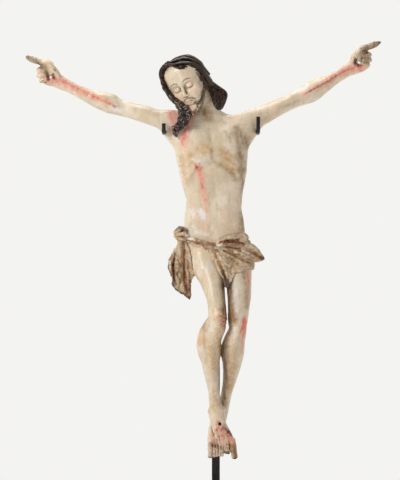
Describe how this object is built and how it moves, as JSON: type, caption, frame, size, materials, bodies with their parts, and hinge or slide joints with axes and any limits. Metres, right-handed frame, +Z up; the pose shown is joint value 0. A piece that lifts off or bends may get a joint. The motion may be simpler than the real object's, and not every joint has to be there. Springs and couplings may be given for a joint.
{
  "type": "crucifix corpus figure",
  "caption": "Carved and painted corpus from a crucifix, arms spread and head bowed, held by the armpits on a black steel rod with a cradle and a base plate.",
  "frame": {"origin": "middle of the base plate's underside, on the surface that it stands on", "axes": "+Z up, the figure faces -Y, and its left hand is on the +X side"},
  "size_m": [0.5333, 0.16, 0.7106],
  "materials": {
    "painted_wood": "carved wood under aged oil paint: flesh, dark brown hair, gilded cloth, varnished and worn",
    "black_steel": "matte black paint"
  },
  "bodies": {
    "root": {"figure": "painted_wood", "mount_base_plate": "black_steel", "mount_upright": "black_steel", "mount_cradle": "black_steel"}
  },
  "joints": []
}
